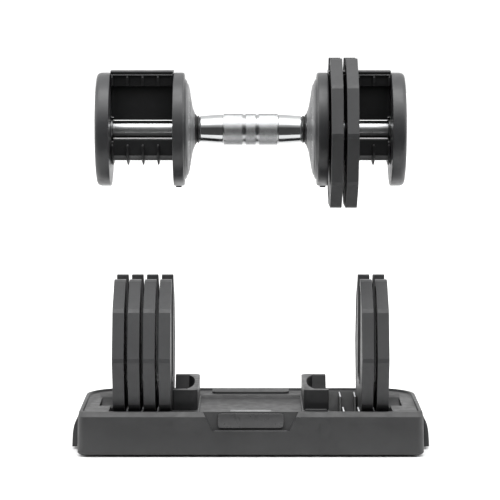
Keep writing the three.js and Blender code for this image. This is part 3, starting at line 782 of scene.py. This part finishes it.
def tray_shell():
    base, top, deck = SHELL_LOW.z, SHELL_HIGH.z, TRAY["deck"]
    half, upper, depth, rim = TRAY["bottom_half"], TRAY["top_half"], TRAY["depth"], TRAY["top_depth"]
    front, back = TRAY["front_corner"], TRAY["back_corner"]
    outer = skinned([
        tray_ring(base, half - 2.6, depth - 2.6, front - 2, back - 11),
        tray_ring(base + 0.8, half - 1.1, depth - 1.1, front, back - 10),
        tray_ring(base + 2.6, half, depth, front, back - 8),
        tray_ring(top - 4.7, upper + 1.2, depth - 0.9, front, back - 2),
        tray_ring(top - 4.1, upper + 1.0, depth - 1.5, front, back - 1.6),
        tray_ring(top - 0.9, upper + 0.4, rim + 0.7, front, back),
        tray_ring(top - 0.25, upper + 0.1, rim + 0.2, front, back),
        tray_ring(top, upper - 0.7, rim - 0.5, front, back),
    ])
    wall = TRAY["wall"]
    inside = skinned([
        tray_ring(base - 1, half - wall - 1, depth - wall - 1, 6, back - 12),
        tray_ring(base + 4, half - wall, depth - wall, 6, back - 11),
        tray_ring(deck - wall, upper - wall, rim - wall, 6, back - 4),
    ])
    lip = TRAY["lip"]
    field = skinned([
        tray_ring(deck, upper - lip - 0.4, rim - lip - 0.4, 5, back - 3),
        tray_ring(top + 1, upper - lip + 0.6, rim - lip + 0.6, 5, back - 3),
    ])
    floor, skin_thick = WELL["floor"], WELL["skin"]
    skin = prism("x", well_outline(WELL["gap"] + skin_thick, floor - skin_thick, deck - 0.5),
                 WELL["from"] - skin_thick, WELL["end"] + skin_thick)
    pocket_skin = box((CRADLE_LOW.x, WELL["from"]), (-50, 50), (34, deck - 1))
    near, far, channel_floor = CHANNEL["front"], CHANNEL["back"], CHANNEL["floor"]
    reach, step, corner = LEDGE["half"], LEDGE["from"], LEDGE["corner"]
    ledge = prism("z", [(corner - reach, step), (reach - corner, step), (reach, step + corner),
                        (reach, rim - 2), (-reach, rim - 2), (-reach, step + corner)], deck - 1, top)
    joined = [skin, mirrored(skin), pocket_skin, mirrored(pocket_skin),
              box((-54, 54), (-NOTCH["depth"] - 1, near + 2), (NOTCH["floor"] - 3, deck - 1)),
              box((-54, 54), (near - 3, far + 3), (channel_floor - 3, deck - 1))]
    wells = prism("x", well_outline(WELL["gap"], floor, top + 4), WELL["from"], WELL["to"] + 1)
    disc_slot = raise_by(turned([(WELL["to"], 0), (WELL["to"], WELL["disc"]), (WELL["end"], WELL["disc"]),
                                 (WELL["end"], 0)], 128), AXIS_DOCKED)
    hollow = DISC_HOLLOW
    pocket = raise_by(turned([(hollow["from"], 0), (hollow["from"], hollow["radius"]),
                              (WELL["from"] + 0.5, hollow["radius"]), (WELL["from"] + 0.5, 0)], 128),
                      AXIS_DOCKED)
    plunger_low = span("lock_plunger_r")[0]
    tip = plunger_low.z - AXIS_UP + AXIS_DOCKED
    relief = box((plunger_low.x - 2, plunger_low.x + 8), (-7, 7), (tip - 3, tip + 3))
    channel = prism("x", rounded([
        (near, top + 2, 0), (near, channel_floor + 4, 2), (near + 14, channel_floor + 1, 8),
        (0, channel_floor, 20), (far - 18, channel_floor + 0.8, 8), (far - 3, channel_floor + 3.2, 2),
        (far, top + 2, 0)], 5, closed=True), -CHANNEL["half"], CHANNEL["half"])
    notch = prism("y", [(NOTCH["floor"], -NOTCH["half_floor"]), (top + 2, -NOTCH["half_top"] - 1),
                        (top + 2, NOTCH["half_top"] + 1), (NOTCH["floor"], NOTCH["half_floor"])],
                  -depth - 5, -NOTCH["depth"])
    removed = [field, channel, notch]
    for shape in (wells, disc_slot, pocket, relief):
        removed += [shape, mirrored(shape)]
    return carved("tray_hollow", outer, removed=[inside]), joined, removed, ledge


def mesh_shape(mesh):
    """Points in millimetres and faces of a mesh."""
    return [tuple(v.co / MM) for v in mesh.vertices], [list(p.vertices) for p in mesh.polygons]


def make_tray_shell():
    hollow, joined, removed, ledge = tray_shell()
    field, *cuts = removed
    dished = carved("tray_dished", mesh_shape(hollow), joined, [field])
    mesh = carved("tray_body", mesh_shape(dished), [ledge], cuts)
    piece("tray_body", mesh, "tray_shell_grain", "tray", ["tray_shell"], bevel=0.35, segments=2,
          over=28, sharp_over=30)


def rounded_plan(x0, x1, y0, y1, reach, steps=8):
    return rounded([(x0, y0, reach), (x1, y0, reach), (x1, y1, reach), (x0, y1, reach)], steps, closed=True)


def cradle_mesh(left):
    """Block with a round pocket for the inner disc and a shallower dish for the dial."""
    low, high = CRADLE_LOW, CRADLE_HIGH
    plan = rounded([(low.x, low.y, 8), (high.x, low.y, 1.5), (high.x, high.y, 1.5), (low.x, high.y, 8)], 8,
                   closed=True)
    block = prism("z", plan, low.z, high.z)
    radius = DISC_HOLLOW["radius"]
    dish = [(58.4, 0), (58.4, 37.2), (58.9, 41), (59.8, 45.5), (61.1, 50), (62.8, 54.5), (64.4, 58),
            (DISC_HOLLOW["from"], radius)]
    cavity = raise_by(turned([*dish, (high.x + 2, radius), (high.x + 2, 0)], 160), AXIS_DOCKED)
    return carved("cradle", block, removed=[cavity], left=left)


RIB = {"dip": 28, "dip_half": 26, "shoulder": 34, "half": 1.1, "base": 1.4, "edge_half": 0.7, "edge_to": 67}
RIB_PLACES = FIN_PLACES[:-1]
FLANGE = {"out": 1.6, "thick": 1.0, "inset": 2.0, "sunk": 0.5}
LABEL = {"corner": 2, "thick": 0.5}
NAMEPLATE_CORNER = 4
SILL = {"half": 36.5, "front": -84.3, "back": -83.2, "low": 26.4, "top": 27.5}


def rack_shape():
    top, half = RACK_HIGH.z, RIB["half"]
    outline = well_outline(WELL["gap"] - 0.3, RACK_LOW.z, top)
    middle = len(outline) // 2
    rib = outline[:middle] + [(RIB["shoulder"], top), (RIB["dip_half"], RIB["dip"]),
                              (-RIB["dip_half"], RIB["dip"]), (-RIB["shoulder"], top)] + outline[middle:]
    reach = outline[0][0] - 0.5
    base = box((RACK_LOW.x, RACK_HIGH.x), (-reach, reach), (RACK_LOW.z, RACK_LOW.z + RIB["base"]))
    return merged(base, *[prism("x", rib, x - half, x + half) for x in RIB_PLACES])


def rib_edge_highlights():
    """Pale strips along the tops of the ribs, front and back: painted highlight."""
    top, width = RACK_HIGH.z, RIB["edge_half"]
    parts = []
    for x in RIB_PLACES:
        for face in (-1, 1):
            y = sorted((face * (RIB["shoulder"] + 0.6), face * RIB["edge_to"]))
            parts.append(box((x - width, x + width), y, (top - 0.2, top + 0.35)))
    return merged(*parts)


def hood_mesh(left):
    """Visor on the end wall of the tray, open below for the fingers."""
    low, high = HOOD_LOW, HOOD_HIGH
    root, out, foot, crest = low.x, high.x, low.z, high.z
    wall = 2.4
    outer = rounded([(foot, root, 0), (foot, out, 0.6), (crest - 15, out - 0.8, 6), (crest - 6, out - 3, 5),
                     (crest, root + 0.8, 0.5), (crest, root, 0)], 5, closed=True)
    inner = [(foot - 1, root - 1), (foot - 1, out - wall), (crest - 15 - wall, out - 0.8 - wall),
             (crest - 6 - wall, out - 3 - wall), (crest - wall, root - 1)]
    return carved("hood", prism("y", outer, low.y, high.y),
                  removed=[prism("y", inner, low.y + wall, high.y - wall)], left=left)


def cradle_flange():
    """Thin foot flange along the front of a cradle, where it meets the deck; its lighter grey paints the
    reflection line there.
    """
    low, high = CRADLE_LOW, CRADLE_HIGH
    inset, back = FLANGE["inset"], low.y + FLANGE["sunk"]
    return box((low.x + inset, high.x - inset), (low.y - FLANGE["out"], back), (low.z, low.z + FLANGE["thick"]))


def make_tray_fittings():
    for side in SIDES:
        left = side == "l"
        piece(f"cradle_block_{side}", cradle_mesh(left), "cradle_grain", "tray",
              [f"cradle_{side}"], bevel=0.7, segments=3, over=40)
        piece(f"rack_{side}", rack_shape(), "rack_grain", "tray", [f"plate_rack_{side}"], left,
              bevel=0.3, segments=2)
        piece(f"rib_edge_highlights_{side}", rib_edge_highlights(), "rib_edge_painted_highlight", "tray", left=left, bevel=0.2,
              segments=2)
        piece(f"cradle_flange_{side}", cradle_flange(), "painted_highlight_grey", "tray", left=left,
              bevel=0.3, segments=2)
        piece(f"grip_hood_{side}", hood_mesh(left), "rack_grain", "tray",
              [f"side_hood_{side}"], bevel=0.3, segments=2, over=40)
    # Thin lip at the notch floor's front edge; its lighter grey paints the highlight along that edge.
    sill = box((-SILL["half"], SILL["half"]), (SILL["front"], SILL["back"]), (SILL["low"], SILL["top"]))
    piece("notch_sill", sill, "painted_highlight_grey", "tray", bevel=0.3, segments=2)
    low, high = NAMEPLATE_LOW, NAMEPLATE_HIGH
    plan = rounded([
        (low.z, low.x, NAMEPLATE_CORNER), (low.z, high.x, NAMEPLATE_CORNER),
        (high.z, high.x, NAMEPLATE_CORNER), (high.z, low.x, NAMEPLATE_CORNER)], 8, closed=True)
    piece("nameplate", prism("y", plan, low.y, high.y), "nameplate_grain", "tray",
          ["nameplate_blank"], bevel=0.6, segments=4, over=60)
    low, high = span("label_blank")
    label = prism("z", rounded_plan(low.x, high.x, low.y, high.y, LABEL["corner"]), low.z,
                  low.z + LABEL["thick"])
    piece("label", label, "label_print", "tray", ["label_blank"], bevel=0.1, segments=2, over=60)


CARRIED = {
    "tray_base": "tray_shell_grain", "foot_front_l": "foot_rubber_grain", "foot_front_r": "foot_rubber_grain",
    "foot_back_l": "foot_rubber_grain", "foot_back_r": "foot_rubber_grain", "inner_bush_l": "steel_satin",
    "inner_bush_r": "steel_satin", "plunger_spring_l": "steel_satin", "plunger_spring_r": "steel_satin",
}


def dress_carried_nodes():
    for node, material in CARRIED.items():
        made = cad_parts[node]
        for place in made.material_slots:
            place.material = MATERIALS[material]


# ---- studio ----
def make_floor():
    material = bpy.data.materials.new("studio_floor")
    material.use_nodes = True
    shader = material.node_tree.nodes["Principled BSDF"]
    shader.inputs["Base Color"].default_value = (0.80, 0.80, 0.80, 1)
    shader.inputs["Roughness"].default_value = 0.8
    half, front, back = 12.0, -0.34, 12.0
    mesh = bpy.data.meshes.new("studio_floor")
    corners = [(-half, front, 0), (half, front, 0), (half, back, 0), (-half, back, 0)]
    mesh.from_pydata(corners, [], [[0, 1, 2, 3]])
    floor = bpy.data.objects.new("studio_floor", mesh)
    mesh.materials.append(material)
    bpy.context.scene.collection.objects.link(floor)


def area_light(name, place, aim, size, power):
    data = bpy.data.lights.new(name, "AREA")
    data.shape = "RECTANGLE"
    data.size, data.size_y = size
    data.energy = power
    lamp = bpy.data.objects.new(name, data)
    lamp.location = place
    direction = Vector(aim) - Vector(place)
    lamp.rotation_euler = direction.to_track_quat("-Z", "Y").to_euler()
    bpy.context.scene.collection.objects.link(lamp)


# Light that comes from around the X axis: degrees up from the front horizon over the top to the back, radiance.
SKY = [
    (-180, 0.6), (-90, 0.15), (-16, 0.10), (14, 0.10), (34, 0.8), (48, 3.0),
    (70, 3.0), (86, 2.3), (112, 1.3), (150, 1.0), (172, 1.5), (180, 1.5),
]


def make_world():
    """A soft box overhead, a pale wall behind and a dark one in front. The view beyond is plain white."""
    world = bpy.data.worlds.new("studio")
    bpy.context.scene.world = world
    world.use_nodes = True
    tree = world.node_tree
    new, link = tree.nodes.new, tree.links.new
    split = new("ShaderNodeSeparateXYZ")
    link(new("ShaderNodeTexCoord").outputs["Generated"], split.inputs["Vector"])
    toward_front = new("ShaderNodeMath")
    toward_front.operation = "MULTIPLY"
    toward_front.inputs[1].default_value = -1
    link(split.outputs["Y"], toward_front.inputs[0])
    angle = new("ShaderNodeMath")
    angle.operation = "ARCTAN2"
    link(split.outputs["Z"], angle.inputs[0])
    link(toward_front.outputs["Value"], angle.inputs[1])
    share = new("ShaderNodeMapRange")
    share.inputs["From Min"].default_value = -math.pi
    share.inputs["From Max"].default_value = math.pi
    link(angle.outputs["Value"], share.inputs["Value"])
    ramp = new("ShaderNodeValToRGB")
    stops = ramp.color_ramp.elements
    brightest = max(radiance for _, radiance in SKY)
    for i, (degrees, radiance) in enumerate(SKY):
        stop = stops[i] if i < 2 else stops.new(1.0)
        stop.position = (degrees + 180) / 360
        stop.color = (radiance / brightest,) * 3 + (1,)
    link(share.outputs["Result"], ramp.inputs["Fac"])
    surroundings = tree.nodes["Background"]
    surroundings.inputs["Strength"].default_value = brightest
    link(ramp.outputs["Color"], surroundings.inputs["Color"])
    beyond = new("ShaderNodeBackground")
    beyond.inputs["Color"].default_value = (1, 1, 1, 1)
    beyond.inputs["Strength"].default_value = 1.1
    mix = new("ShaderNodeMixShader")
    link(new("ShaderNodeLightPath").outputs["Is Camera Ray"], mix.inputs["Fac"])
    link(surroundings.outputs["Background"], mix.inputs[1])
    link(beyond.outputs["Background"], mix.inputs[2])
    link(mix.outputs["Shader"], tree.nodes["World Output"].inputs["Surface"])


def make_light():
    make_world()
    area_light("strip_left", (-1.6, 0.3, 0.8), (0.15, 0, 0.3), (0.5, 1.3), 4.5)
    area_light("strip_right", (1.6, 0.3, 0.8), (-0.15, 0, 0.3), (0.5, 1.3), 4.5)
    area_light("key_above", (0.0, -0.4, 1.9), (0, 0, 0.2), (1.8, 0.9), 14)
    bpy.context.scene.view_settings.view_transform = "Standard"


def make_camera():
    data = bpy.data.cameras.new("camera")
    data.lens = 172.6
    data.sensor_width = 36
    camera = bpy.data.objects.new("camera", data)
    camera.location = (-0.0007, -2.4845, 0.4421)
    camera.rotation_euler = (math.radians(90 - 5.49), 0, 0)
    bpy.context.scene.collection.objects.link(camera)
    bpy.context.scene.camera = camera


make_camera()
make_light()
make_floor()
make_materials()
make_plates()
make_handle_ends()
make_grip()
make_tray_shell()
make_tray_fittings()
dress_carried_nodes()
